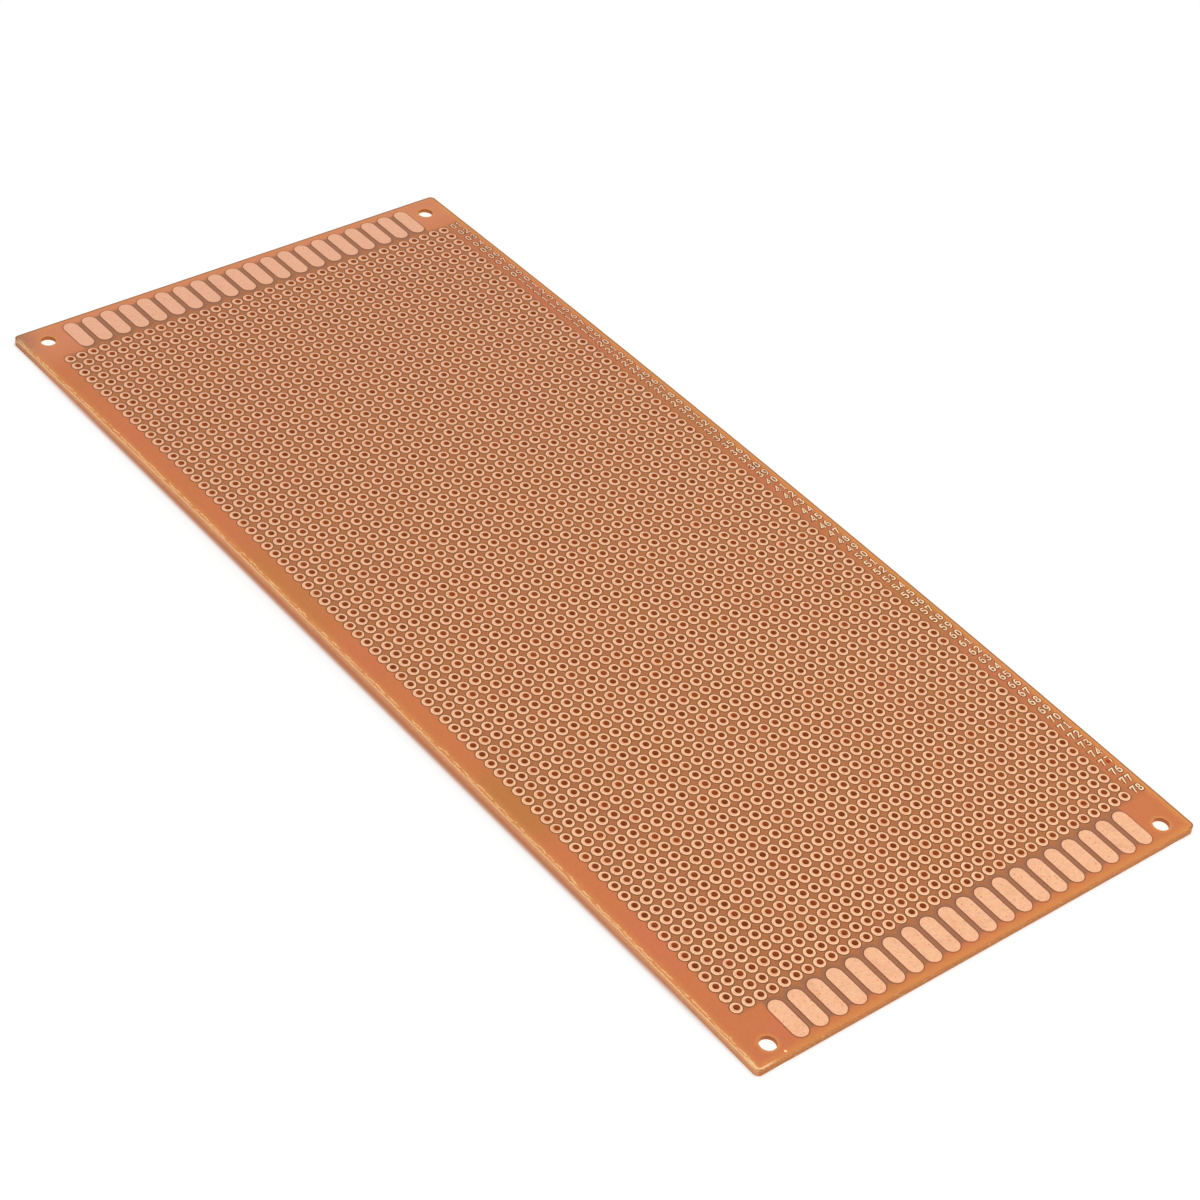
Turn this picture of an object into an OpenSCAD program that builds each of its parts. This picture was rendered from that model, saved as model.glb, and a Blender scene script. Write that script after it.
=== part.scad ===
// Universal prototype board: a sheet of phenolic laminate drilled on a square grid, with a copper
// pad round every hole, a row of edge contacts at each short end, four mounting holes and a pilot hole.
// X runs along the length, Y across the width towards the numbered edge, Z up through the copper
// side. The origin is under the middle of the sheet, level with the two short ends that it rests on.

/* [Board] */
// Length of the sheet
board_l = 219; // [218:0.5:240]
// Width of the sheet
board_w = 100; // [97:0.5:120]
// Thickness of the laminate
board_t = 1.5; // [0.8:0.1:2.4]
// Radius of the sheet's corners
corner_r = 1; // [0.5:0.1:3]
// Height of the warped sheet's middle above its short ends
bow_rise = 1.5; // [0.3:0.1:4]
// Columns of holes on each flat leaf of the warped sheet
leaf_columns = 6; // [4:1:8]

/* [Pad grid] */
// Columns of pads along the length
columns = 78; // [60:1:78]
// Rows of pads across the width
rows = 36; // [24:1:36]
// Distance between neighbouring holes
pitch = 2.54; // [2.25:0.01:2.55]
// Diameter of a component hole
drill_d = 1.15; // [0.6:0.05:1.3]
// Outer diameter of a copper pad
pad_d = 2.1; // [1.7:0.05:2.15]
// How far the etched pads sit off their holes along the length
pad_shift_x = 0.05; // [-0.1:0.05:0.1]
// How far the etched pads sit off their holes across the width
pad_shift_y = -0.15; // [-0.2:0.05:0.2]
// Thickness of the copper foil
copper_t = 0.035; // [0.018:0.001:0.105]

/* [Edge contacts] */
// Contacts at each short end
contacts = 20; // [8:1:20]
// Length of a contact, with its round ends
contact_l = 8.4; // [5:0.1:8.8]
// Width of a contact
contact_w = 3; // [2:0.1:3.6]
// Distance between neighbouring contacts
contact_pitch = 4.15; // [3.8:0.05:4.25]
// Bare laminate between the contacts and the short edge
contact_inset = 1.4; // [1:0.1:1.8]
// Shift of each row of contacts towards the numbered edge
contact_shift = 0.5; // [-1:0.1:1]

/* [Mounting holes] */
// Diameter of a mounting hole
mount_d = 3; // [2.2:0.1:3.6]
// Centre of a mounting hole from the short edge
mount_inset_x = 4; // [3.5:0.1:6]
// Centre of a mounting hole from the long edge
mount_inset_y = 5; // [3.5:0.1:5.5]
// Shift of all four mounting holes towards the last column
mount_shift = 0.5; // [-1:0.1:1]

/* [Pilot hole] */
// Diameter of the one small hole drilled through the numbered margin
pilot_d = 1; // [0.6:0.05:1.3]
// Columns from the last column back to the pilot hole
pilot_columns_in = 3; // [0:1:20]
// Centre of the pilot hole from the long edge
pilot_inset_y = 1.8; // [1.2:0.1:2]

/* [Hidden] */
// How far a cutting shape reaches past the face that it cuts
over = 1;
// Columns that share one node of pads
pair = 2;
leaves = ceil(columns / leaf_columns);
bow_r = (board_l * board_l / 4 + bow_rise * bow_rise) / (2 * bow_rise);
mount_x = board_l / 2 - mount_inset_x;
mount_y = board_w / 2 - mount_inset_y;
contact_x = board_l / 2 - contact_inset - contact_l / 2;
drill_facets = 24;
pad_facets = 32;
corner_facets = 48;

// Place of a column or a row, counted from 1
function column_x(c) = (c - (columns + 1) / 2) * pitch;
function row_y(r) = (r - (rows + 1) / 2) * pitch;

// The warped underside is an arc over the length, taken as flat leaves so that every hole and pad
// stays a true cylinder. The creases lie midway between two columns.
function arc_z(x) = sqrt(bow_r * bow_r - x * x) - (bow_r - bow_rise);
creases = [
    -board_l / 2,
    for (i = [1:leaves - 1]) column_x(i * leaf_columns) + pitch / 2,
    board_l / 2
];
function leaf_at(x) = min(leaves, max(1, len([for (c = creases) if (c <= x) c]))) - 1;
function leaf_slope(k) = (arc_z(creases[k + 1]) - arc_z(creases[k])) / (creases[k + 1] - creases[k]);
function underside_z(x) = let (k = leaf_at(x)) arc_z(creases[k]) + (x - creases[k]) * leaf_slope(k);

// Names of the nodes of pads, such as pads_columns_01_02
function last_of(c) = min(c + pair - 1, columns);
function two_digits(n) = str(n < 10 ? "0" : "", n);
function pads_name(c) = str("pads_columns_", two_digits(c), "_", two_digits(last_of(c)));
pad_nodes = [for (c = [1:pair:columns]) pads_name(c)];

// Sets its children on the copper side at x, y, square to the leaf there
module on_top(x, y) {
    translate([x, y, underside_z(x) + board_t])
        rotate([0, -atan(leaf_slope(leaf_at(x))), 0])
            children();
}

// The sheet seen from above
module outline() {
    square([board_l - 2 * corner_r, board_w], center = true);
    square([board_l, board_w - 2 * corner_r], center = true);
    for (sx = [-1, 1], sy = [-1, 1])
        translate([sx * (board_l / 2 - corner_r), sy * (board_w / 2 - corner_r)])
            circle(r = corner_r, $fn = corner_facets);
}

// The sheet seen from its long edge, past both ends
module side_profile() {
    ends = board_l / 2 + over;
    xs = [-ends, for (i = [1:leaves - 1]) creases[i], ends];
    below = [for (x = xs) [x, underside_z(x)]];
    above = [for (i = [leaves:-1:0]) below[i] + [0, board_t]];
    polygon(concat(below, above));
}

module bowed_sheet() {
    intersection() {
        rotate([90, 0, 0])
            linear_extrude(board_w + 2 * over, center = true)
                side_profile();
        translate([0, 0, -over])
            linear_extrude(bow_rise + board_t + 2 * over)
                outline();
    }
}

// What a drill takes out, square to the leaf that on_top sets it on
module drill(d) {
    translate([0, 0, -board_t - over])
        cylinder(h = board_t + 2 * over, d = d, $fn = drill_facets);
}

module component_holes() {
    for (c = [1:columns], r = [1:rows])
        on_top(column_x(c), row_y(r))
            drill(drill_d);
}

module pilot_hole() {
    on_top(column_x(columns - pilot_columns_in), board_w / 2 - pilot_inset_y)
        drill(pilot_d);
}

module mounting_holes() {
    for (sx = [-1, 1], sy = [-1, 1])
        translate([sx * mount_x + mount_shift, sy * mount_y, -over])
            cylinder(h = bow_rise + board_t + 2 * over, d = mount_d, $fn = corner_facets);
}

module laminate() {
    color("chocolate")
        difference() {
            bowed_sheet();
            component_holes();
            pilot_hole();
            mounting_holes();
        }
}

// One pad: a ring of foil round its hole, a little off centre as the foil was etched and drilled apart
module pad() {
    linear_extrude(copper_t)
        difference() {
            translate([pad_shift_x, pad_shift_y])
                circle(d = pad_d, $fn = pad_facets);
            circle(d = drill_d, $fn = drill_facets);
        }
}

// The pads of a pair of columns, the first of them column c
module pads_columns(c) {
    color("lightsalmon")
        for (i = [c:last_of(c)], r = [1:rows])
            on_top(column_x(i), row_y(r))
                pad();
}

// One contact: a strip of foil with round ends
module contact() {
    straight = contact_l - contact_w;
    linear_extrude(copper_t)
        union() {
            square([straight, contact_w], center = true);
            for (side = [-1, 1])
                translate([side * straight / 2, 0])
                    circle(d = contact_w, $fn = pad_facets);
        }
}

// The contacts of one short end: side is -1 for column 1's end and 1 for the last column's
module contact_row(side) {
    color("lightsalmon")
        for (i = [1:contacts])
            on_top(side * contact_x, contact_shift + (i - (contacts + 1) / 2) * contact_pitch)
                contact();
}

module contacts_left() contact_row(-1);

module contacts_right() contact_row(1);

laminate();
contacts_left();
contacts_right();
for (c = [1:pair:columns]) pads_columns(c);
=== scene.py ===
"""Looks of a prototype board: its paper laminate, etched copper, column numerals and studio stage.

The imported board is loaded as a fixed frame. Everything here is dressed on it or placed on its
copper side. Lengths are metres where a property holds them, and millimetres inside the materials.
"""

import math

import bpy
import numpy as np
from bpy.props import FloatProperty, FloatVectorProperty, IntProperty, PointerProperty
from mathutils import Matrix, Vector


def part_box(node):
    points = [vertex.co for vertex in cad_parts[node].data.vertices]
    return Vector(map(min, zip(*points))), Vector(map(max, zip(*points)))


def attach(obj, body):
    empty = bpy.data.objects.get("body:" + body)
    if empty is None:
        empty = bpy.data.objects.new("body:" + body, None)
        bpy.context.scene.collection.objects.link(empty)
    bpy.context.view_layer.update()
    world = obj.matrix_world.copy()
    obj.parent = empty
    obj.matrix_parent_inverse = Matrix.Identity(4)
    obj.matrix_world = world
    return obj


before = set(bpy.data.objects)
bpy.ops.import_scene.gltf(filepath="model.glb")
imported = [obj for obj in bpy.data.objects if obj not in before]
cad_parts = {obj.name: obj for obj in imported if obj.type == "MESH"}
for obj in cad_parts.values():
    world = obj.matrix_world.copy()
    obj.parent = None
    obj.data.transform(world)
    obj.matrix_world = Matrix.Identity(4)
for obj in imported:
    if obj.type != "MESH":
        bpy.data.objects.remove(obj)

bl_info = {
    "name": "Prototype Board Looks",
    "version": (1, 0, 0),
    "blender": (4, 5, 0),
    "location": "3D View > Sidebar > Board",
    "description": "Paper laminate, etched copper, column numerals and a studio stage for a prototype board",
    "category": "Object",
}

MM = 0.001
COPPER_NODES = sorted(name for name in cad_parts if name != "laminate")


# Settings that a user can change


def length(name, description, default_mm):
    """A length property whose default is given in millimetres."""
    default = default_mm * MM
    return FloatProperty(name=name, description=description, default=default, unit="LENGTH", precision=5)


def angle(name, description, degrees):
    """An angle property whose default is given in degrees."""
    return FloatProperty(name=name, description=description, default=math.radians(degrees), subtype="ANGLE")


def colour(name, description, red, green, blue):
    """A colour property given as it shows on a screen, each part from 0 to 255."""
    return FloatVectorProperty(
        name=name,
        description=description,
        subtype="COLOR_GAMMA",
        size=3,
        min=0.0,
        max=1.0,
        default=(red / 255, green / 255, blue / 255),
    )


class BoardLayout(bpy.types.PropertyGroup):
    """Where the pattern lies on the sheet, so that finishes can follow it."""

    pitch: length("Pitch", "Distance between neighbouring holes", 2.54)
    columns: IntProperty(name="Columns", description="Columns of pads", default=78)
    rows: IntProperty(name="Rows", description="Rows of pads", default=36)
    corner: length("Corner", "Radius of the sheet's corners", 1.0)
    drill: length("Drill", "Diameter of a component hole", 1.15)
    pad: length("Pad", "Outer diameter of a pad", 2.1)
    pad_shift_x: length("Pad shift x", "How far the pads sit off their holes, along the length", 0.05)
    pad_shift_y: length("Pad shift y", "How far the pads sit off their holes, across the width", -0.15)
    contacts: IntProperty(name="Contacts", description="Edge contacts at each short end", default=20)
    contact_x: length("Contact x", "From the sheet's middle to the middle of a contact, lengthwise", 103.9)
    contact_length: length("Contact length", "Length of an edge contact, with its round ends", 8.4)
    contact_width: length("Contact width", "Width of an edge contact", 3.0)
    contact_pitch: length("Contact pitch", "Distance between neighbouring edge contacts", 4.15)
    contact_shift: length("Contact shift", "Shift of the rows of contacts towards the numbered edge", 0.5)
    mount_x: length("Mounting hole x", "Half the mounting holes' distance, lengthwise", 105.5)
    mount_y: length("Mounting hole y", "Half the mounting holes' distance, widthwise", 45.0)
    mount_shift: length("Mounting hole shift", "Shift of the mounting holes towards the last column", 0.5)
    mount: length("Mounting hole", "Diameter of a mounting hole", 3.0)
    pilot_column: IntProperty(name="Pilot column", description="Column beside the pilot hole", default=75)
    pilot_y: length("Pilot hole y", "Pilot hole's distance from the middle, across the width", 48.2)
    pilot: length("Pilot hole", "Diameter of the pilot hole", 1.0)


class LaminateLook(bpy.types.PropertyGroup):
    """Colours of the paper laminate."""

    resin: colour("Resin", "Bare margin of the sheet", 204, 118, 68)
    rose: colour("Rose stain", "Pinker clouds in the resin", 208, 112, 76)
    pale: colour("Pale end", "Lighter resin at the first column's end", 217, 137, 95)
    olive: colour("Olive stain", "Duller, greener clouds in the resin", 186, 119, 58)
    # the pad field's and the contact gap's colours are painted shade, where the nearby foil keeps light out
    # of the resin
    field: colour("Pad field", "Resin between the pads", 166, 98, 62)
    gap: colour("Contact gap", "Greyer resin between the edge contacts", 148, 102, 80)
    foil_shade_and_dark_ply: colour("Hugging line", "Darker line along the edge of the foil", 104, 62, 34)
    glow: colour("Glow", "Thin resin that lets light through, at edges and holes", 222, 146, 70)
    # the darker line along the foil is painted shade; its colour also marks the dark plies of the sawn faces
    worn: colour("Worn line", "Burnished burrs along the cut edge", 255, 212, 156)
    arris: colour("Arris", "Duller line where a cut face meets the copper side", 138, 98, 68)
    bruise: colour("Bruise", "Greyer laminate at the knocked corner of the first column", 122, 98, 76)
    # the lower colours of the sawn faces are painted shade towards the floor
    cut: colour("Cut face", "Upper plies of the long sawn edges", 244, 170, 117)
    cut_shaded_low: colour("Cut face, lower", "Lower plies of the long sawn edges", 220, 143, 97)
    end: colour("End face", "Upper plies of the short sawn edges", 209, 131, 75)
    end_shaded_low: colour("End face, lower", "Lower plies of the short sawn edges", 190, 118, 60)
    # the colour of the drilled hole walls is painted shade
    shaded_bore: colour("Bore", "Wall of a component hole", 150, 90, 50)
    bore_glow: colour("Bore glow", "Light that reaches a component hole's wall through the resin", 98, 46, 16)
    pilot_glow: colour("Pilot glow", "Light through the thin resin round the pilot hole", 156, 58, 16)
    # a mounting hole's upper wall colour is painted shade
    shaded_mount_wall: colour("Mounting hole wall", "Upper part of a mounting hole's wall", 180, 106, 54)
    mount_glow: colour("Mounting hole glow", "Lower part of that wall, lit by the floor", 255, 250, 244)
    field_reach_x: length("Field reach x", "How far the browner pad field goes past the end cells", -0.6)
    field_reach_y: length("Field reach y", "How far it goes on the side with no numerals", -0.9)
    numeral_reach: length("Numeral reach", "How far it goes on the numbered side", -0.5)
    numeral_tint: length("Numeral tint", "How far half of its brown goes on there, under the numerals", 2.2)
    roughness: FloatProperty(name="Roughness", description="Roughness of the satin resin", default=0.46)


class CopperLook(bpy.types.PropertyGroup):
    """Colours of the bare copper foil."""

    foil: colour("Foil", "Clean copper", 236, 182, 143)
    rim: colour("Rim", "Burnished rim of each pad", 255, 212, 168)
    dull: colour("Dull", "Duller, browner copper", 218, 154, 112)
    rosy: colour("Rosy", "Pinker blotches in the copper", 240, 164, 136)
    # this colour marks random spots of tarnish, and painted shade towards the first column
    tarnish_and_shade: colour("Tarnish", "Pinker, greyer copper towards the first column", 228, 173, 143)
    bright: colour("Bright", "Burnished copper of the numerals", 255, 219, 175)
    speck: colour("Speck", "Dark specks in the foil", 196, 128, 92)
    roughness: FloatProperty(name="Roughness", description="Roughness of the foil", default=0.42)


class NumeralSizes(bpy.types.PropertyGroup):
    """Sizes of the foil numerals that count the columns. They read along the width."""

    height: length("Height", "Height of a numeral", 1.75)
    width: length("Width", "Width of a numeral", 1.12)
    gap: length("Gap", "Gap between the two numerals of a column", 0.24)
    stroke: length("Stroke", "Width of a stroke", 0.28)
    # this width and height are of a strip of painted shade laid on the resin along each stroke
    outline: length("Outline", "Width of a stroke with the dark line of bare resin along it", 0.62)
    shade_outline_height: length("Outline height", "Height of that dark line", 0.012)
    foil: length("Foil", "Thickness of the copper foil", 0.035)
    inset: length("Inset", "From the long edge to the end of the second numeral", 1.08)
    drop: length("Drop", "From the column's centre line to the foot of its numerals", 0.67)


class StageSettings(bpy.types.PropertyGroup):
    """Camera and light."""

    aim_x: length("Aim x", "Where the camera aims, along the length", 8.65)
    aim_y: length("Aim y", "Where the camera aims, across the width", 0.19)
    distance: length("Distance", "Camera's distance from where it aims", 564.0)
    azimuth: angle("Azimuth", "Camera's bearing; 0 looks along +Y", 45.391)
    elevation: angle("Elevation", "Camera's height above the horizon", 40.108)
    roll: angle("Roll", "Camera's turn about its own axis", 8.7731)
    lens: FloatProperty(name="Lens", description="Focal length on a 36 mm sensor", default=94.079)
    sky: FloatProperty(name="Sky", description="Strength of the even light from all round", default=0.55)
    key: FloatProperty(name="Key", description="Power of the large soft lamp, watts", default=6.0)
    fill: FloatProperty(name="Fill", description="Power of the lamp at the near side, watts", default=1.7)
    shaded: colour("Shadow tint", "What the board's shadow takes from the white floor", 206, 242, 252)
    # painted shadow: the floor glows this colour in the gap below the sheet and just beyond its rim
    under: colour("Under the board", "Floor in the gap below the bowed sheet", 184, 120, 86)
    shadow_reach: length("Shadow reach", "How far out the floor is white again", 220.0)


# Shader formulas


def screen(value):
    """A screen colour as a linear one: ((c + 0.055) / 1.055) ^ 2.4, or c / 12.92 where it is dark."""
    c = np.array(value, float)
    return (*np.where(c <= 0.04045, c / 12.92, ((c + 0.055) / 1.055) ** 2.4), 1.0)


class Wire:
    """A node's output. Arithmetic on it adds Math nodes, so that a mask is written as its formula."""

    def __init__(self, recipe, output):
        self.recipe, self.output = recipe, output

    def __add__(self, other):
        return self.recipe.math("ADD", self, other)

    def __sub__(self, other):
        return self.recipe.math("SUBTRACT", self, other)

    def __rsub__(self, other):
        return self.recipe.math("SUBTRACT", other, self)

    def __mul__(self, other):
        return self.recipe.math("MULTIPLY", self, other)

    def __truediv__(self, other):
        return self.recipe.math("DIVIDE", self, other)

    def __rtruediv__(self, other):
        return self.recipe.math("DIVIDE", other, self)

    def __abs__(self):
        return self.recipe.math("ABSOLUTE", self)

    __radd__ = __add__
    __rmul__ = __mul__


class Recipe:
    """The nodes of one material or world."""

    def __init__(self, owner):
        owner.use_nodes = True
        self.tree = owner.node_tree
        self.tree.nodes.clear()

    def node(self, kind, settings=(), sockets=(), output=0):
        """Adds a node: its settings first, then its sockets' values or links."""
        made = self.tree.nodes.new("ShaderNode" + kind)
        for key, value in dict(settings).items():
            setattr(made, key, value)
        for key, value in dict(sockets).items():
            socket = self._find(made.inputs, key)
            if isinstance(value, Wire):
                self.tree.links.new(value.output, socket)
            else:
                socket.default_value = value
        return Wire(self, self._find(made.outputs, output)) if len(made.outputs) else made

    @staticmethod
    def _find(sockets, key):
        if isinstance(key, int):
            return sockets[key]
        return next((s for s in sockets if s.identifier == key), None) or sockets[key]

    def math(self, operation, *terms):
        return self.node("Math", {"operation": operation}, dict(enumerate(terms)))

    def vector(self, operation, *terms):
        return self.node("VectorMath", {"operation": operation}, dict(enumerate(terms)))

    def smooth(self, value, low, high):
        """0 below low, 1 above high and an S-curve between; low may be the larger, for a mask that falls."""
        flip = low > high
        low, high = min(low, high), max(low, high)
        ends = {"From Min": low, "From Max": high, "To Min": float(flip), "To Max": float(not flip)}
        return self.node("MapRange", {"interpolation_type": "SMOOTHSTEP"}, {"Value": value, **ends})

    def mix(self, factor, a, b):
        """The colour a where factor is 0 and b where it is 1."""
        ends = {"Factor_Float": factor, "A_Color": a, "B_Color": b}
        return self.node("Mix", {"data_type": "RGBA"}, ends, "Result_Color")

    def tone(self, value, shade):
        """The colour made lighter or darker by a number."""
        return self.vector("MULTIPLY", value, self.node("CombineXYZ", sockets={0: shade, 1: shade, 2: shade}))

    def noise(self, at, scale, detail=2.0, roughness=0.5):
        """Smooth noise about 0.5; scale is in waves per millimetre."""
        sockets = {"Vector": at, "Scale": scale, "Detail": detail, "Roughness": roughness}
        return self.node("TexNoise", {"normalize": True}, sockets)

    def place(self):
        """The point on the object in millimetres, and its x, y and z."""
        at = self.node("TexCoord", output="Object")
        at = self.node("VectorMath", {"operation": "SCALE"}, {0: at, "Scale": 1 / MM})
        parts = self.node("SeparateXYZ", sockets={0: at})
        outputs = parts.output.node.outputs
        return at, [Wire(self, out) for out in outputs]

    def stretched(self, at, x, y, z):
        """The point with each coordinate multiplied, for a pattern that is drawn out."""
        return self.node("VectorMath", {"operation": "MULTIPLY"}, {0: at, 1: (x, y, z)})

    def to_cell(self, value, step):
        """Signed distance to the middle of the nearest cell of that step; 0 is a cell's border."""
        return (self.math("FRACT", value / step) - 0.5) * step

    def distance(self, x, y):
        return self.math("SQRT", x * x + y * y)

    def finish(self, surface):
        self.node("OutputMaterial", sockets={"Surface": surface})


def new_material(name):
    material = bpy.data.materials.new(name)
    return material, Recipe(material)


def seen_rays(r):
    """1 for rays that come from the camera, straight or by way of gloss or glass, and 0 for the rest."""
    ray = r.node("LightPath").output.node.outputs
    seen = r.math("MAXIMUM", Wire(r, ray["Is Camera Ray"]), Wire(r, ray["Is Glossy Ray"]))
    return r.math("MAXIMUM", seen, Wire(r, ray["Is Transmission Ray"]))


class Pattern:
    """Masks of the etched and drilled pattern, worked out from the point on the sheet, in millimetres."""

    def __init__(self, recipe, layout):
        self.recipe = r = recipe
        self.layout = layout
        self.at, (self.x, self.y, self.z) = r.place()
        self.far_x, self.far_y = abs(self.x), abs(self.y)
        self.half_x, self.half_y = (n * self.mm("pitch") / 2 for n in (layout.columns, layout.rows))
        self.in_grid, self.from_hole = self.cells(self.x, self.y)
        self.in_pads, from_pad = self.cells(self.x - self.mm("pad_shift_x"), self.y - self.mm("pad_shift_y"))
        self.from_pad = from_pad - self.mm("pad") / 2

    def mm(self, name):
        return getattr(self.layout, name) / MM

    def cells(self, x, y):
        """Whether x, y lies in the grid of cells, and its distance from the middle of its cell."""
        r, pitch, soft = self.recipe, self.mm("pitch"), 0.05
        in_x = r.smooth(abs(x), self.half_x, self.half_x - soft)
        in_y = r.smooth(abs(y), self.half_y, self.half_y - soft)
        return in_x * in_y, r.distance(r.to_cell(x, pitch), r.to_cell(y, pitch))

    def cell_of(self):
        """A vector that is the same all over a cell and differs between cells."""
        pitch = self.mm("pitch")
        return self.recipe.vector("FLOOR", self.recipe.stretched(self.at, 1 / pitch, 1 / pitch, 0.0))

    def field(self, look, blur):
        """Mask of painted shade: 1 over the pads and about half under the numerals, falling to 0 across blur.
        """
        r = self.recipe
        reach, plain, numbered = look.field_reach_x / MM, look.field_reach_y / MM, look.numeral_reach / MM
        middle = (numbered - plain) / 2
        half_y = self.half_y + (numbered + plain) / 2
        in_x = r.smooth(self.far_x, self.half_x + reach + 1.4 * blur, self.half_x + reach)
        tint = self.half_y + look.numeral_tint / MM
        numbered_side = r.smooth(self.y, 0.0, 1.0)
        under_numerals = r.smooth(self.y, tint + blur, tint) * numbered_side * 0.45
        over_pads = r.smooth(abs(self.y - middle), half_y + blur, half_y)
        return in_x * r.math("MAXIMUM", over_pads, under_numerals)

    def from_contact(self):
        """Distance outside the nearest edge contact, a strip with round ends."""
        r, pitch = self.recipe, self.mm("contact_pitch")
        straight = self.mm("contact_length") - self.mm("contact_width")
        dx = r.math("MAXIMUM", abs(self.far_x - self.mm("contact_x")) - straight / 2, 0.0)
        y = self.y - self.mm("contact_shift")
        dy = r.math("MAXIMUM", abs(r.to_cell(y, pitch)), abs(y) - (self.layout.contacts - 1) / 2 * pitch)
        return r.distance(dx, dy) - self.mm("contact_width") / 2

    def among_contacts(self):
        """1 between the edge contacts and from them to the pads, and 0 outside their rows."""
        r, side = self.recipe, self.mm("contact_width") / 2
        outer = self.mm("contact_x") + self.mm("contact_length") / 2 - side
        end = (self.layout.contacts - 1) / 2 * self.mm("contact_pitch") + side
        in_row = r.smooth(abs(self.y - self.mm("contact_shift")), end + 0.2, end - 0.3)
        up_to_edge = r.smooth(self.far_x, outer + 1.2, outer + 0.3)
        past_pads = r.smooth(self.far_x, self.half_x - 1, self.half_x)
        return in_row * up_to_edge * past_pads

    def from_rim(self, half_x, half_y, radius):
        """Way in from the rim of a rectangle with round corners; negative outside it."""
        r = self.recipe
        qx, qy = self.far_x - (half_x - radius), self.far_y - (half_y - radius)
        corner = r.distance(r.math("MAXIMUM", qx, 0.0), r.math("MAXIMUM", qy, 0.0))
        return radius - corner - r.math("MINIMUM", r.math("MAXIMUM", qx, qy), 0.0)

    def from_mount(self):
        """Distance from the nearest mounting hole's axis."""
        x = abs(self.x - self.mm("mount_shift")) - self.mm("mount_x")
        return self.recipe.distance(x, self.far_y - self.mm("mount_y"))

    def from_pilot(self):
        x = (self.layout.pilot_column - (self.layout.columns + 1) / 2) * self.mm("pitch")
        return self.recipe.distance(self.x - x, self.y - self.mm("pilot_y"))


# Finishes of the laminate and the copper


def laminate_points():
    """The vertices of the frame's laminate, in metres."""
    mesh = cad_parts["laminate"].data
    co = np.empty(len(mesh.vertices) * 3, np.float32)
    mesh.vertices.foreach_get("co", co)
    return co.reshape(-1, 3)


def sheet_sizes():
    """Length, width and rise of the bowed sheet, and its thickness, in millimetres, from the frame."""
    lo, hi = (np.array(corner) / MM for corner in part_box("laminate"))
    co = laminate_points() / MM
    ends = co[co[:, 0] > hi[0] - 0.05]
    thick = float(np.ptp(ends[:, 2]))
    return float(hi[0] - lo[0]), float(hi[1] - lo[1]), float(hi[2] - lo[2] - thick), thick


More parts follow.
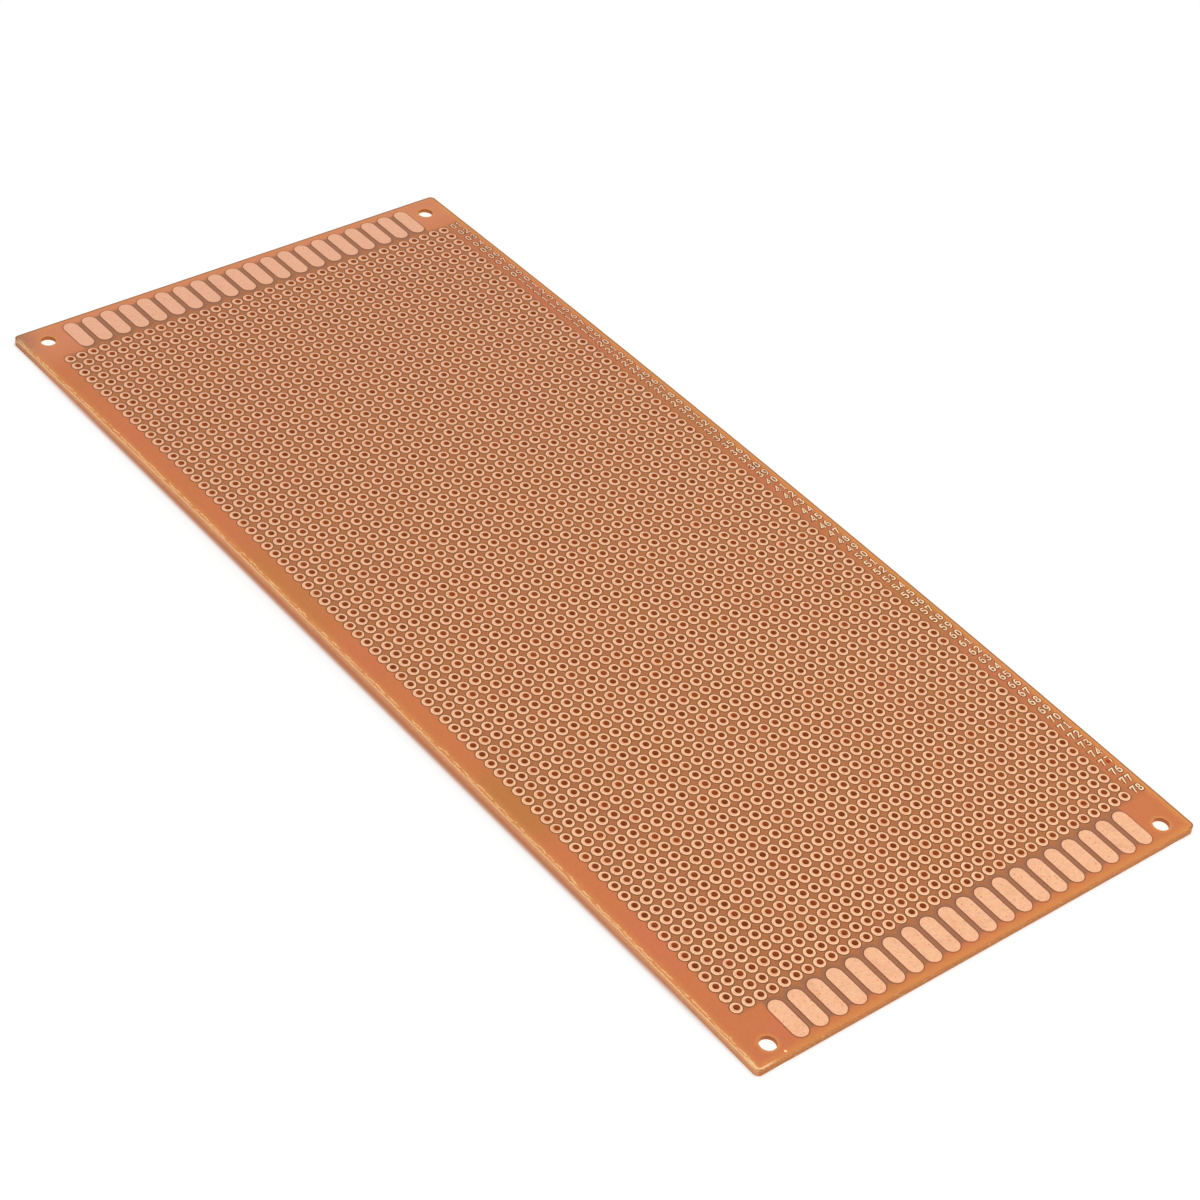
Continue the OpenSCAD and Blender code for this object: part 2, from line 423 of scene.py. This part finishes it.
def laminate_material(layout, look):
    """Orange-brown paper laminate: margin, painted shade between the pads, along the foil, low on the sawn
    faces and in the holes, glow, worn arris, plies and bores.
    """
    length_mm, width_mm, rise, thick = sheet_sizes()
    half_length, half_width = length_mm / 2, width_mm / 2
    material, r = new_material("paper_laminate")
    p = Pattern(r, layout)
    across = p.x / half_length
    top_z = (1.0 - across * across) * rise + thick
    depth = top_z - p.z
    # how deep the finish of a face fades, from where it fades, and the width of a sharp border
    skin, skin_core, sharp = 0.10, 0.04, 0.01
    on_top = r.smooth(depth, skin, skin_core)
    below = r.smooth(depth, thick - skin, thick - skin_core)
    inside = r.smooth(depth, 0.0, sharp) * r.smooth(depth, thick, thick - sharp)

    # clouds in the resin, from a hand's breadth down to the paper's fibres
    broad = r.noise(p.at, 0.035, 3.0, 0.55)
    patch = r.noise(p.at, 0.16, 3.0, 0.6)
    fibre = r.noise(r.stretched(p.at, 0.55, 1.0, 1.0), 2.6, 4.0, 0.7)
    rose_cloud = r.smooth(broad, 0.42, 0.68) * 0.7
    resin = r.mix(rose_cloud, screen(look.resin), screen(look.rose))
    strong_stain_x, faint_stain_x = 44.0, -22.0
    strong_stain = r.smooth(abs(p.x - strong_stain_x), 14.0, 3.0) * 0.8
    faint_stain = r.smooth(abs(p.x - faint_stain_x), 22.0, 8.0) * 0.4
    olive_cloud = r.smooth(patch, 0.55, 0.76) * 0.65
    stain = r.math("MAXIMUM", olive_cloud, strong_stain + faint_stain)
    resin = r.mix(stain, resin, screen(look.olive))
    pale_end = r.smooth(across, -0.86, -0.95) * 0.75
    resin = r.mix(pale_end, resin, screen(look.pale))

    # painted shade: the resin is browner between the pads and round the contacts, and brownest along the
    # foil, where the foil keeps light out of the translucent resin
    from_contact = p.from_contact()
    among_contacts = p.among_contacts()
    copper_shade = r.math("MAXIMUM", p.field(look, blur=0.9), among_contacts)
    between_pads_shade = r.mix(patch * 0.8, screen(look.field), screen(look.olive))
    colour_now = r.mix(copper_shade * 0.92, resin, between_pads_shade)
    between = among_contacts * r.smooth(from_contact, 1.0, 0.6)
    colour_now = r.mix(between * 0.55, colour_now, screen(look.gap))
    pad_edge_shade = r.smooth(p.from_pad, 0.27, 0.04) * p.in_pads
    contact_edge_shade = r.smooth(from_contact, 0.36, 0.04)
    foil_shade_and_dark_ply = r.math("MAXIMUM", pad_edge_shade, contact_edge_shade * 0.7) * on_top * 0.95
    colour_now = r.mix(foil_shade_and_dark_ply, colour_now, screen(look.foil_shade_and_dark_ply))

    # light comes through the thin resin at the rim of the sheet and round the mounting holes
    from_mount = p.from_mount()
    from_edge = p.from_rim(half_length, half_width, p.mm("corner"))
    glowing = 0.3 + r.smooth(across, -0.99, -0.96) * (0.25 + r.smooth(p.y, 46.0, 48.0) * 0.25)
    rim_glow = r.smooth(from_edge, 1.9, 0.1) * glowing
    mount_r = p.mm("mount") / 2
    mount_rim = r.smooth(from_mount, mount_r + 0.8, mount_r + 0.05) * 0.6
    colour_now = r.mix(r.math("MAXIMUM", rim_glow, mount_rim), colour_now, screen(look.glow))
    first_end = r.smooth(p.x, 2.0 - half_length, 1.0 - half_length)
    numbered_edge = r.smooth(p.y, 48.0, 49.0)
    arris = r.smooth(from_edge, 0.4, 0.2) * on_top * r.math("MAXIMUM", first_end, numbered_edge)
    colour_now = r.mix(arris * 0.85, colour_now, screen(look.arris))
    # the first column's plain corner is knocked and grey, and the last column's is lighter along its rim
    to_edge_y = p.y + half_width
    knocked = r.distance((p.x + half_length) * 0.6, to_edge_y)
    grey = r.smooth(knocked, 6.0, 0.4) * (0.25 + r.smooth(fibre, 0.4, 0.65) * 0.6)
    colour_now = r.mix(grey, colour_now, screen(look.bruise))
    from_last_corner = r.distance(p.x - half_length, to_edge_y)
    bright_last_corner = r.smooth(from_last_corner, 5.0, 1.5) * r.smooth(from_edge, 0.5, 0.25)
    colour_now = r.mix(bright_last_corner * 0.75, colour_now, screen(look.worn))
    colour_now = r.tone(colour_now, 0.86 + fibre * 0.28)

    # sawn faces show their plies, with pale chips of paper, and painted shade darkens them towards the floor
    ply = r.noise(r.stretched(p.at, 0.25, 0.25, 9.0), 1.0, 3.0, 0.6)
    chip = r.noise(r.stretched(p.at, 0.8, 0.8, 2.0), 1.9, 4.0, 0.75)
    cut_face = r.smooth(from_edge, 0.03, 0.0)
    deep = r.smooth(depth, 0.1, thick)
    long_side = r.mix(deep, screen(look.cut), screen(look.cut_shaded_low))
    short_side = r.mix(deep, screen(look.end), screen(look.end_shaded_low))
    on_short_side = r.smooth(p.far_x, half_length - 0.3, half_length - 0.1)
    cut = r.mix(on_short_side, long_side, short_side)
    bruised_end = r.smooth(across, -0.86, -0.99) * 0.35
    cut = r.mix(bruised_end, cut, screen(look.bruise))
    dark_ply = r.smooth(ply, 0.5, 0.72) * 0.35
    cut = r.mix(dark_ply, cut, screen(look.foil_shade_and_dark_ply))
    pale_chip = r.smooth(chip, 0.56, 0.68) * 0.6
    cut = r.mix(pale_chip, cut, screen(look.worn))
    colour_now = r.mix(cut_face, colour_now, cut)

    # two ragged burrs run along the plain long edge: s is the way in from its arris, less the way down
    s = to_edge_y - depth
    ends = r.smooth(p.far_x, half_length - 0.3, half_length - 2.0)
    along = r.stretched(p.at, 1.0, 0.1, 0.1)
    jitter = (r.noise(along, 1.5, 2.0, 0.6) - 0.5) * 0.45
    sparkle = 0.65 + r.smooth(chip, 0.4, 0.6) * 0.35
    # each burr by its place, its waves per millimetre, how far they sway it, its breaks and its strength
    inner, outer = (0.45, 0.31, 1.3, 0.46, 0.7), (-0.12, 0.9, 0.4, 0.36, 1.0)
    for place, wave, sway, breaks, strength in (inner, outer):
        wander = (r.noise(along, wave, 3.0, 0.7) - 0.5) * sway + jitter
        gaps = r.noise(r.stretched(p.at, 1.0, 0.3, 0.3), wave * 2.3, 3.0, 0.7)
        broken = r.smooth(gaps, breaks - 0.1, breaks + 0.1)
        burr = r.smooth(abs(s - place - wander), 0.21, 0.09) * broken * ends * sparkle
        colour_now = r.mix(burr * strength, colour_now, screen(look.worn))

    # drilled walls are lit from within, and the mounting holes' from the floor below; the walls' darker base
    # colours are painted shade
    def hole(distance, diameter):
        return r.smooth(distance, diameter / 2 + 2 * sharp, diameter / 2 + sharp) * inside

    shaded_bore = hole(p.from_hole, p.mm("drill")) * p.in_grid
    pilot = hole(p.from_pilot(), p.mm("pilot"))
    mount = hole(from_mount, p.mm("mount"))
    colour_now = r.mix(r.math("MAXIMUM", shaded_bore, pilot), colour_now, screen(look.shaded_bore))
    colour_now = r.mix(mount, colour_now, screen(look.shaded_mount_wall))
    each = r.node("TexWhiteNoise", {"noise_dimensions": "3D"}, {"Vector": p.cell_of()}, "Value")
    black = (0, 0, 0, 1)
    lit = r.tone(r.mix(shaded_bore, black, screen(look.bore_glow)), 0.7 + each * 0.6)
    lit = r.mix(pilot, lit, screen(look.pilot_glow))
    lower_wall = r.smooth(depth, 0.72, 0.98)
    lit = r.mix(mount * lower_wall, lit, screen(look.mount_glow))

    # the plain side: pale crazed rings where the drill came out
    craze = r.smooth(p.from_hole, 1.05, 0.62) * p.in_grid * below * r.smooth(fibre, 0.35, 0.6)
    colour_now = r.mix(craze * 0.4, colour_now, screen(look.worn))

    gloss = look.roughness + (fibre - 0.5) * 0.16 + cut_face * 0.25
    bump = r.node("Bump", sockets={"Strength": 0.12, "Distance": 0.02 * MM, "Height": fibre})
    sockets = {"Base Color": colour_now, "Roughness": gloss, "Normal": bump, "Specular IOR Level": 0.25}
    r.finish(r.node("BsdfPrincipled", sockets={**sockets, "Emission Color": lit, "Emission Strength": 1.0}))
    return material


def shade_outline_material(look):
    """Painted shade along the numerals' foil: a dark strip laid on the resin."""
    material, r = new_material("numeral_shade_outline")
    grain = r.noise(r.place()[0], 1.2, 3.0, 0.65)
    colour_now = r.mix(r.smooth(grain, 0.5, 0.75), screen(look.foil_shade_and_dark_ply), screen(look.field))
    sockets = {"Base Color": colour_now, "Roughness": look.roughness, "Specular IOR Level": 0.25}
    r.finish(r.node("BsdfPrincipled", sockets=sockets))
    return material


def copper_material(name, layout, look, foil, far_end_shade):
    """Bare foil: a burnished rim, dull patches, pads that differ a little and dark specks.

    Towards the first column it is darkened by that share, as painted shade, less and less towards the last.
    """
    material, r = new_material(name)
    p = Pattern(r, layout)
    grain = r.noise(p.at, 2.8, 3.0, 0.7)
    mottle = r.noise(p.at, 1.3, 3.0, 0.6)
    cloud = r.noise(p.at, 0.35, 2.0, 0.5)
    each = r.node("TexWhiteNoise", {"noise_dimensions": "3D"}, {"Vector": p.cell_of()}, "Value")
    dulling = p.in_grid * r.smooth(each, 0.55, 1.0) * 0.5 + r.smooth(cloud, 0.5, 0.75) * 0.35
    colour_now = r.mix(dulling, screen(foil), screen(look.dull))
    tarnish_spot = r.smooth(mottle, 0.48, 0.66) * 0.5
    colour_now = r.mix(tarnish_spot, colour_now, screen(look.tarnish_and_shade))
    pad_rim = r.smooth(p.from_pad, -0.3, -0.05) * p.in_pads
    drill_r = p.mm("drill") / 2
    hole_edge = r.smooth(p.from_hole, drill_r + 0.12, drill_r + 0.02) * p.in_grid
    colour_now = r.mix(pad_rim * 0.8, colour_now, screen(look.rim))
    colour_now = r.mix(hole_edge * 0.5, colour_now, screen(look.dull))
    scatter = {"Vector": p.at, "Scale": 1.15, "Randomness": 1.0}
    dots = r.node("TexVoronoi", {"feature": "F1"}, scatter, "Distance")
    speck = r.smooth(dots, 0.26, 0.12) * r.smooth(mottle, 0.36, 0.56)
    colour_now = r.mix(speck * 0.65, colour_now, screen(look.speck))
    # painted shade: the foil darkens towards the first column
    to_first_column = r.smooth(p.x, 40.0, -110.0)
    colour_now = r.mix(to_first_column * far_end_shade, colour_now, screen(look.tarnish_and_shade))
    blotch = r.noise(r.stretched(p.at, 1.0, 1.0, 0.2), 0.9, 4.0, 0.75)
    rosy_blotch = r.smooth(blotch, 0.52, 0.68) * 0.4
    colour_now = r.mix(rosy_blotch, colour_now, screen(look.rosy))
    colour_now = r.tone(colour_now, 0.76 + grain * 0.48)
    gloss = look.roughness + (grain - 0.5) * 0.2 + speck * 0.2
    bump = r.node("Bump", sockets={"Strength": 0.15, "Distance": 0.01 * MM, "Height": grain})
    sockets = {"Base Color": colour_now, "Metallic": 1.0, "Roughness": gloss, "Normal": bump}
    r.finish(r.node("BsdfPrincipled", sockets=sockets))
    return material


def dress(node, material):
    """Puts the material in every slot of a node of the frame."""
    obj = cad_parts[node]
    for place in obj.material_slots:
        place.material = material
    if not obj.material_slots:
        obj.data.materials.append(material)


# Meshes of the foil numerals and marks


def arc(cx, cy, rx, ry, start, end, steps):
    """Points at (cx + rx cos a, cy + ry sin a) while a goes from start to end, in degrees."""
    a = np.radians(np.linspace(start, end, steps + 1))
    return np.stack([cx + rx * np.cos(a), cy + ry * np.sin(a)], axis=1)


def strokes(digit):
    """The pen's paths for a digit, in a box one wide and one high. A closed path ends where it starts."""
    if digit == 0:
        return [arc(0.5, 0.5, 0.46, 0.5, 90, 450, 12)]
    if digit == 1:
        return [np.array([(0.16, 0.78), (0.5, 1.0), (0.5, 0.0)]), np.array([(0.14, 0.0), (0.86, 0.0)])]
    if digit == 2:
        return [np.vstack([arc(0.5, 0.71, 0.46, 0.29, 165, -35, 7), [(0.02, 0.0), (1.0, 0.0)]])]
    if digit == 3:
        return [np.vstack([arc(0.46, 0.76, 0.4, 0.24, 150, -75, 6), arc(0.46, 0.27, 0.5, 0.27, 70, -155, 7)])]
    if digit == 4:
        return [np.array([(0.78, 0.0), (0.78, 1.0), (0.0, 0.24), (1.0, 0.24)])]
    if digit == 5:
        flag = [(0.94, 1.0), (0.16, 1.0), (0.08, 0.58)]
        return [np.vstack([flag, arc(0.46, 0.32, 0.52, 0.32, 115, -150, 8)])]
    if digit == 6:
        return [np.vstack([arc(0.66, 0.34, 0.64, 0.66, 80, 172, 5), arc(0.5, 0.3, 0.48, 0.3, 175, -170, 11)])]
    if digit == 7:
        return [np.array([(0.0, 0.76), (0.02, 0.98), (0.98, 1.0), (0.6, 0.5), (0.4, 0.0)])]
    if digit == 8:
        return [arc(0.5, 0.76, 0.38, 0.24, 90, 450, 10), arc(0.5, 0.26, 0.48, 0.26, 90, 450, 11)]
    return [1.0 - path for path in strokes(6)]


def outside_circle(path, centre, radius):
    """The parts of a path that lie outside a circle, each as a path of its own."""
    along = np.linspace(0, len(path) - 1, 8 * len(path))
    fine = np.stack([np.interp(along, np.arange(len(path)), path[:, k]) for k in (0, 1)], axis=1)
    keep = np.hypot(*(fine - centre).T) > radius
    runs = np.split(np.arange(len(fine)), np.flatnonzero(np.diff(keep.astype(int))) + 1)
    return [fine[run] for run in runs if keep[run[0]] and len(run) > 2]


def bar(path, width, low, high):
    """A closed bar of rectangular section along a flat path, as vertices and quads.

    At each point the section stands across the mean direction of the two strokes that meet there,
    made longer by 1 / cos of half their turn, so that the bar keeps its width round a corner.
    """
    closed = bool(np.allclose(path[0], path[-1]))
    if closed:
        path = path[:-1]
    count = len(path)
    step = np.roll(path, -1, axis=0) - path
    step /= np.linalg.norm(step, axis=1, keepdims=True)
    before = np.roll(step, 1, axis=0)
    if not closed:
        step[-1], before[0] = before[-1], step[0]
    side = np.stack([-step[:, 1], step[:, 0]], axis=1)
    side_before = np.stack([-before[:, 1], before[:, 0]], axis=1)
    mitre = side + side_before
    mitre /= np.linalg.norm(mitre, axis=1, keepdims=True)
    reach = width / 2 / np.clip((mitre * side).sum(axis=1, keepdims=True), 0.45, 1.0)
    left, right = path + mitre * reach, path - mitre * reach
    layers = [(right, low), (right, high), (left, high), (left, low)]
    verts = np.concatenate([np.column_stack([xy, np.full(count, z)]) for xy, z in layers])
    here = np.arange(count if closed else count - 1)
    ahead = (here + 1) % count
    quads = [
        np.stack([a * count + here, a * count + ahead, b * count + ahead, b * count + here], axis=1)
        for a, b in ((0, 1), (1, 2), (2, 3), (3, 0))
    ]
    if not closed:
        ring = np.arange(4) * count
        quads += [ring[None, :], (ring + count - 1)[None, ::-1]]
    return verts, np.concatenate(quads)


def joined(parts):
    """Several (vertices, faces) as one, each part's faces counted on from the vertices before it."""
    starts = np.cumsum([0] + [len(verts) for verts, _ in parts])
    return np.concatenate([v for v, _ in parts]), np.concatenate([f + s for (_, f), s in zip(parts, starts)])


def height_over(x):
    """Height of the copper side at x, read from the frame's long edge and joined up straight."""
    co = laminate_points().astype(float)
    edge = co[co[:, 1] > co[:, 1].max() - 1e-6]
    places = np.unique(np.round(edge[:, 0], 6))
    tops = np.array([edge[np.abs(edge[:, 0] - place) < 2e-6, 2].max() for place in places])
    return np.interp(x, places, tops)


def numeral_mesh(layout, sizes, stroke, top):
    """Vertices and quads of every numeral with that width of stroke, up to a height above the copper side.

    A numeral reads along +Y with its top towards -X: x = foot - v height, y = start + u width, and
    z is the copper side's height there plus the bar's own. Each digit's bars are repeated wherever it stands.
    """
    pilot = np.array([(layout.pilot_column - (layout.columns + 1) / 2) * layout.pitch, layout.pilot_y])
    numbers = np.arange(1, layout.columns + 1)
    foot = (numbers - (layout.columns + 1) / 2) * layout.pitch + sizes.drop
    half_y = np.abs(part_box("laminate")[1][1])
    units_y = half_y - sizes.inset - sizes.width
    tens_y = units_y - sizes.gap - sizes.width
    size = np.array([sizes.width - sizes.stroke, sizes.height - sizes.stroke])
    buried = -sizes.foil / 2

    def placed(paths, feet, start_y):
        bars = [bar(path * size + sizes.stroke / 2, stroke, buried, top) for path in paths]
        verts, quads = joined(bars)
        x = feet[:, None] - verts[None, :, 1]
        y = np.broadcast_to(start_y + verts[:, 0], x.shape)
        z = height_over(x) + verts[:, 2]
        all_quads = quads[None] + (np.arange(len(feet)) * len(verts))[:, None, None]
        return np.stack([x, y, z], axis=2).reshape(-1, 3), all_quads.reshape(-1, 4)

    parts = []
    for digit in range(10):
        tens = numbers // 10 == digit
        if tens.any():
            parts.append(placed(strokes(digit), foot[tens], tens_y))
        units = (numbers % 10 == digit) & (numbers != layout.pilot_column)
        parts.append(placed(strokes(digit), foot[units], units_y))
    # the drill took the middle out of one numeral
    feet = foot[numbers == layout.pilot_column]
    centre = (np.array([pilot[1] - units_y, feet[0] - pilot[0]]) - sizes.stroke / 2) / size
    radius = (layout.pilot / 2 + sizes.stroke / 2) / size.mean()
    whole = strokes(layout.pilot_column % 10)
    drilled = [run for path in whole for run in outside_circle(path, centre, radius)]
    parts.append(placed(drilled, feet, units_y))
    return joined(parts)


def dome(centre, radii, turn, rings=4, around=12):
    """A low rounded fleck on the copper side: half an ellipsoid closed by a flat base.

    x = rx cos e cos a, y = ry cos e sin a and z = rz sin e, turned about Z, with e going from the
    rim at 0 to the pole at 90 degrees.
    """
    rises = np.linspace(0, math.pi / 2, rings + 1)[:-1]
    e, a = np.meshgrid(rises, np.arange(around) * 2 * math.pi / around, indexing="ij")
    x = radii[0] * np.cos(e) * np.cos(a)
    y = radii[1] * np.cos(e) * np.sin(a)
    shell = np.stack([x, y, radii[2] * np.sin(e)], axis=2)
    verts = np.vstack([shell.reshape(-1, 3), [(0, 0, radii[2])], [(0, 0, 0)]])
    c, s = math.cos(turn), math.sin(turn)
    verts = verts @ np.array([(c, s, 0), (-s, c, 0), (0, 0, 1)])
    ring, here = np.meshgrid(np.arange(rings - 1), np.arange(around), indexing="ij")
    ahead = (here + 1) % around
    low, high = ring * around, (ring + 1) * around
    quads = np.stack([low + here, low + ahead, high + ahead, high + here], axis=2)
    here, ahead = np.arange(around), (np.arange(around) + 1) % around
    last = (rings - 1) * around
    pole, base = len(verts) - 2, len(verts) - 1
    cap = np.stack([last + here, last + ahead, np.full(around, pole), np.full(around, pole)], axis=1)
    floor = np.stack([ahead, here, np.full(around, base), np.full(around, base)], axis=1)
    return verts + centre, np.concatenate([quads.reshape(-1, 4), cap, floor])


def make_piece(name, verts, quads, material, slot):
    """A mesh object of the board that rides on its body. A quad that repeats a corner becomes a triangle."""
    mesh = bpy.data.meshes.new(name)
    faces = [face[:3] if face[2] == face[3] else face for face in quads.tolist()]
    mesh.from_pydata(verts.tolist(), [], faces)
    mesh.materials.append(material)
    mesh.validate()
    mesh.update()
    piece = bpy.data.objects.new(name, mesh)
    bpy.context.scene.collection.objects.link(piece)
    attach(piece, "root")


# Operators


class BOARD_OT_stage(bpy.types.Operator):
    """Camera, pale floor, even sky and soft lamps."""

    bl_idname = "board.stage"
    bl_label = "Stage"

    def execute(self, context):
        s = context.scene.board_stage
        self.camera(context, s)
        self.sky(context, s)
        self.floor(s, context.scene.board_layout)
        self.lamp("key_lamp", place=(0.5, 0.5, 1.0), size=0.7, power=s.key)
        self.lamp("fill_lamp", place=(0.3, -0.6, 0.8), size=0.6, power=s.fill)
        context.scene.view_settings.view_transform = "Standard"
        return {"FINISHED"}

    @staticmethod
    def camera(context, s):
        data = bpy.data.cameras.new("camera")
        data.lens = s.lens
        data.sensor_width = 36.0
        data.clip_start = 0.01
        data.clip_end = 20.0
        back = Vector(
            (
                math.sin(s.azimuth) * math.cos(s.elevation),
                -math.cos(s.azimuth) * math.cos(s.elevation),
                math.sin(s.elevation),
            )
        )
        turn = back.to_track_quat("Z", "Y").to_matrix().to_4x4() @ Matrix.Rotation(s.roll, 4, "Z")
        camera = bpy.data.objects.new("camera", data)
        camera.matrix_world = Matrix.Translation(Vector((s.aim_x, s.aim_y, 0.0)) + back * s.distance) @ turn
        context.scene.collection.objects.link(camera)
        context.scene.camera = camera

    @staticmethod
    def sky(context, s):
        world = bpy.data.worlds.new("sky")
        context.scene.world = world
        r = Recipe(world)
        even = r.node("Background", sockets={"Color": (1, 1, 1, 1), "Strength": s.sky})
        white = r.node("Background", sockets={"Color": (1, 1, 1, 1), "Strength": 1.0})
        shown = r.node("MixShader", sockets={0: seen_rays(r), 1: even, 2: white})
        r.node("OutputWorld", sockets={"Surface": shown})

    @staticmethod
    def floor(s, layout):
        """White where it is lit: lamps light what the shadow takes, and the rest glows to the camera. A
        painted shadow glows round the sheet, and white is painted over its shadow beside it, at its ends and
        under the mounting holes.
        """
        material, r = new_material("pale_floor")
        taken = np.array(screen(s.shaded))
        p = Pattern(r, layout)
        half_length, half_width = (n / 2 for n in sheet_sizes()[:2])
        from_rim = p.from_rim(half_length, half_width, p.mm("corner"))
        # painted shadow: the floor glows a dark colour below the sheet and just beyond its rim
        painted_gap_shadow = r.smooth(from_rim, -0.75, 0.7)
        # painted light: the floor seen through the mounting holes is painted white
        white_under_mount = r.smooth(p.from_mount(), 4.5, 3.5)
        # the short ends rest on the floor and the bowed middle stands proud; towards the ends white is
        # painted over the shadow
        ends = r.smooth(p.far_x, half_length - 45.0, half_length) * (1 - painted_gap_shadow) * 0.9
        reach = s.shadow_reach / MM
        distant = r.smooth(r.distance(p.x, p.y), reach - 60.0, reach)
        # painted light: white is painted over most of the lamps' shadow just beside the sheet
        beside = r.smooth(from_rim, 0.3, -0.9) * 0.8
        white_over_shadow = r.math("MAXIMUM", white_under_mount, beside)
        white_over_shadow = r.math("MAXIMUM", white_over_shadow, r.math("MAXIMUM", ends, distant))
        plain = r.node("BsdfDiffuse", sockets={"Color": (0.94, 0.94, 0.94, 1)})
        lit = r.node("BsdfDiffuse", sockets={"Color": tuple(taken)})
        rest = r.node("Emission", sockets={"Color": (*(1.0 - 0.87 * taken[:3]), 1), "Strength": 1.0})
        # the colour of that painted shadow
        gap = r.node("Emission", sockets={"Color": screen(s.under), "Strength": 1.0})
        white = r.node("Emission", sockets={"Color": (1, 1, 1, 1), "Strength": 1.0})
        tinted = r.node("AddShader", sockets={0: lit, 1: rest})
        tinted = r.node("MixShader", sockets={0: painted_gap_shadow, 1: tinted, 2: gap})
        shown = r.node("MixShader", sockets={0: white_over_shadow, 1: tinted, 2: white})
        r.finish(r.node("MixShader", sockets={0: seen_rays(r), 1: plain, 2: shown}))
        # three metres each way, and a hair below the short ends that rest on it
        half, z = 3.0, -0.05 * MM
        corners = [(-half, -half, z), (half, -half, z), (half, half, z), (-half, half, z)]
        mesh = bpy.data.meshes.new("floor")
        mesh.from_pydata(corners, [], [(0, 1, 2, 3)])
        mesh.materials.append(material)
        floor = bpy.data.objects.new("floor", mesh)
        bpy.context.scene.collection.objects.link(floor)

    @staticmethod
    def lamp(name, place, size, power):
        data = bpy.data.lights.new(name, "AREA")
        data.shape = "DISK"
        data.size = size
        data.energy = power
        lamp = bpy.data.objects.new(name, data)
        turn = Vector(place).to_track_quat("Z", "Y").to_matrix().to_4x4()
        lamp.matrix_world = Matrix.Translation(place) @ turn
        bpy.context.scene.collection.objects.link(lamp)


class BOARD_OT_laminate(bpy.types.Operator):
    """Finish of the drilled sheet."""

    bl_idname = "board.laminate"
    bl_label = "Laminate"

    def execute(self, context):
        dress("laminate", laminate_material(context.scene.board_layout, context.scene.board_laminate))
        return {"FINISHED"}


class BOARD_OT_copper(bpy.types.Operator):
    """Finish of the pads and the edge contacts."""

    bl_idname = "board.copper"
    bl_label = "Copper"

    def execute(self, context):
        look = context.scene.board_copper
        material = copper_material("copper_foil", context.scene.board_layout, look, look.foil, far_end_shade=0.7)
        for name in COPPER_NODES:
            dress(name, material)
        return {"FINISHED"}


class BOARD_OT_numerals(bpy.types.Operator):
    """Foil numerals that count the columns along one long edge, each on a dark strip of painted shade."""

    bl_idname = "board.numerals"
    bl_label = "Numerals"

    def execute(self, context):
        scene = context.scene
        layout, look, sizes = scene.board_layout, scene.board_copper, scene.board_numerals
        material = copper_material("copper_numerals", layout, look, look.bright, far_end_shade=0.8)
        make_piece("numerals", *numeral_mesh(layout, sizes, sizes.stroke, sizes.foil), material, "copper")
        shade_outlines = numeral_mesh(layout, sizes, sizes.outline, sizes.shade_outline_height)
        make_piece("numeral_shade_outlines", *shade_outlines, shade_outline_material(scene.board_laminate), "laminate")
        return {"FINISHED"}


class BOARD_OT_flecks(bpy.types.Operator):
    """A stray fleck of foil by one corner hole."""

    bl_idname = "board.flecks"
    bl_label = "Flecks"

    def execute(self, context):
        x, y = 108.65 * MM, -43.7 * MM
        radii = (0.26 * MM, 0.2 * MM, 0.04 * MM)
        fleck = dome(np.array([x, y, float(height_over(x))]), radii, turn=0.4)
        make_piece("foil_fleck", *fleck, bpy.data.materials["copper_numerals"], "copper")
        return {"FINISHED"}


class BOARD_PT_looks(bpy.types.Panel):
    """Lists the board's looks in the sidebar."""

    bl_label = "Prototype board"
    bl_space_type = "VIEW_3D"
    bl_region_type = "UI"
    bl_category = "Board"

    def draw(self, context):
        for group in ("board_layout", "board_laminate", "board_copper", "board_numerals", "board_stage"):
            box = self.layout.box()
            settings = getattr(context.scene, group)
            for name in settings.__annotations__:
                box.prop(settings, name)
        for operator in OPERATORS:
            self.layout.operator(operator.bl_idname)


GROUPS = {
    "board_layout": BoardLayout,
    "board_laminate": LaminateLook,
    "board_copper": CopperLook,
    "board_numerals": NumeralSizes,
    "board_stage": StageSettings,
}
OPERATORS = (BOARD_OT_stage, BOARD_OT_laminate, BOARD_OT_copper, BOARD_OT_numerals, BOARD_OT_flecks)


def register():
    for group in GROUPS.values():
        bpy.utils.register_class(group)
    for name, group in GROUPS.items():
        setattr(bpy.types.Scene, name, PointerProperty(type=group))
    for cls in (*OPERATORS, BOARD_PT_looks):
        bpy.utils.register_class(cls)


def unregister():
    for cls in (BOARD_PT_looks, *reversed(OPERATORS)):
        bpy.utils.unregister_class(cls)
    for name in GROUPS:
        delattr(bpy.types.Scene, name)
    for group in reversed(GROUPS.values()):
        bpy.utils.unregister_class(group)


def main():
    register()
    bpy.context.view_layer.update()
    bpy.ops.board.stage()
    bpy.ops.board.laminate()
    bpy.ops.board.copper()
    bpy.ops.board.numerals()
    bpy.ops.board.flecks()


if __name__ == "__main__":
    main()
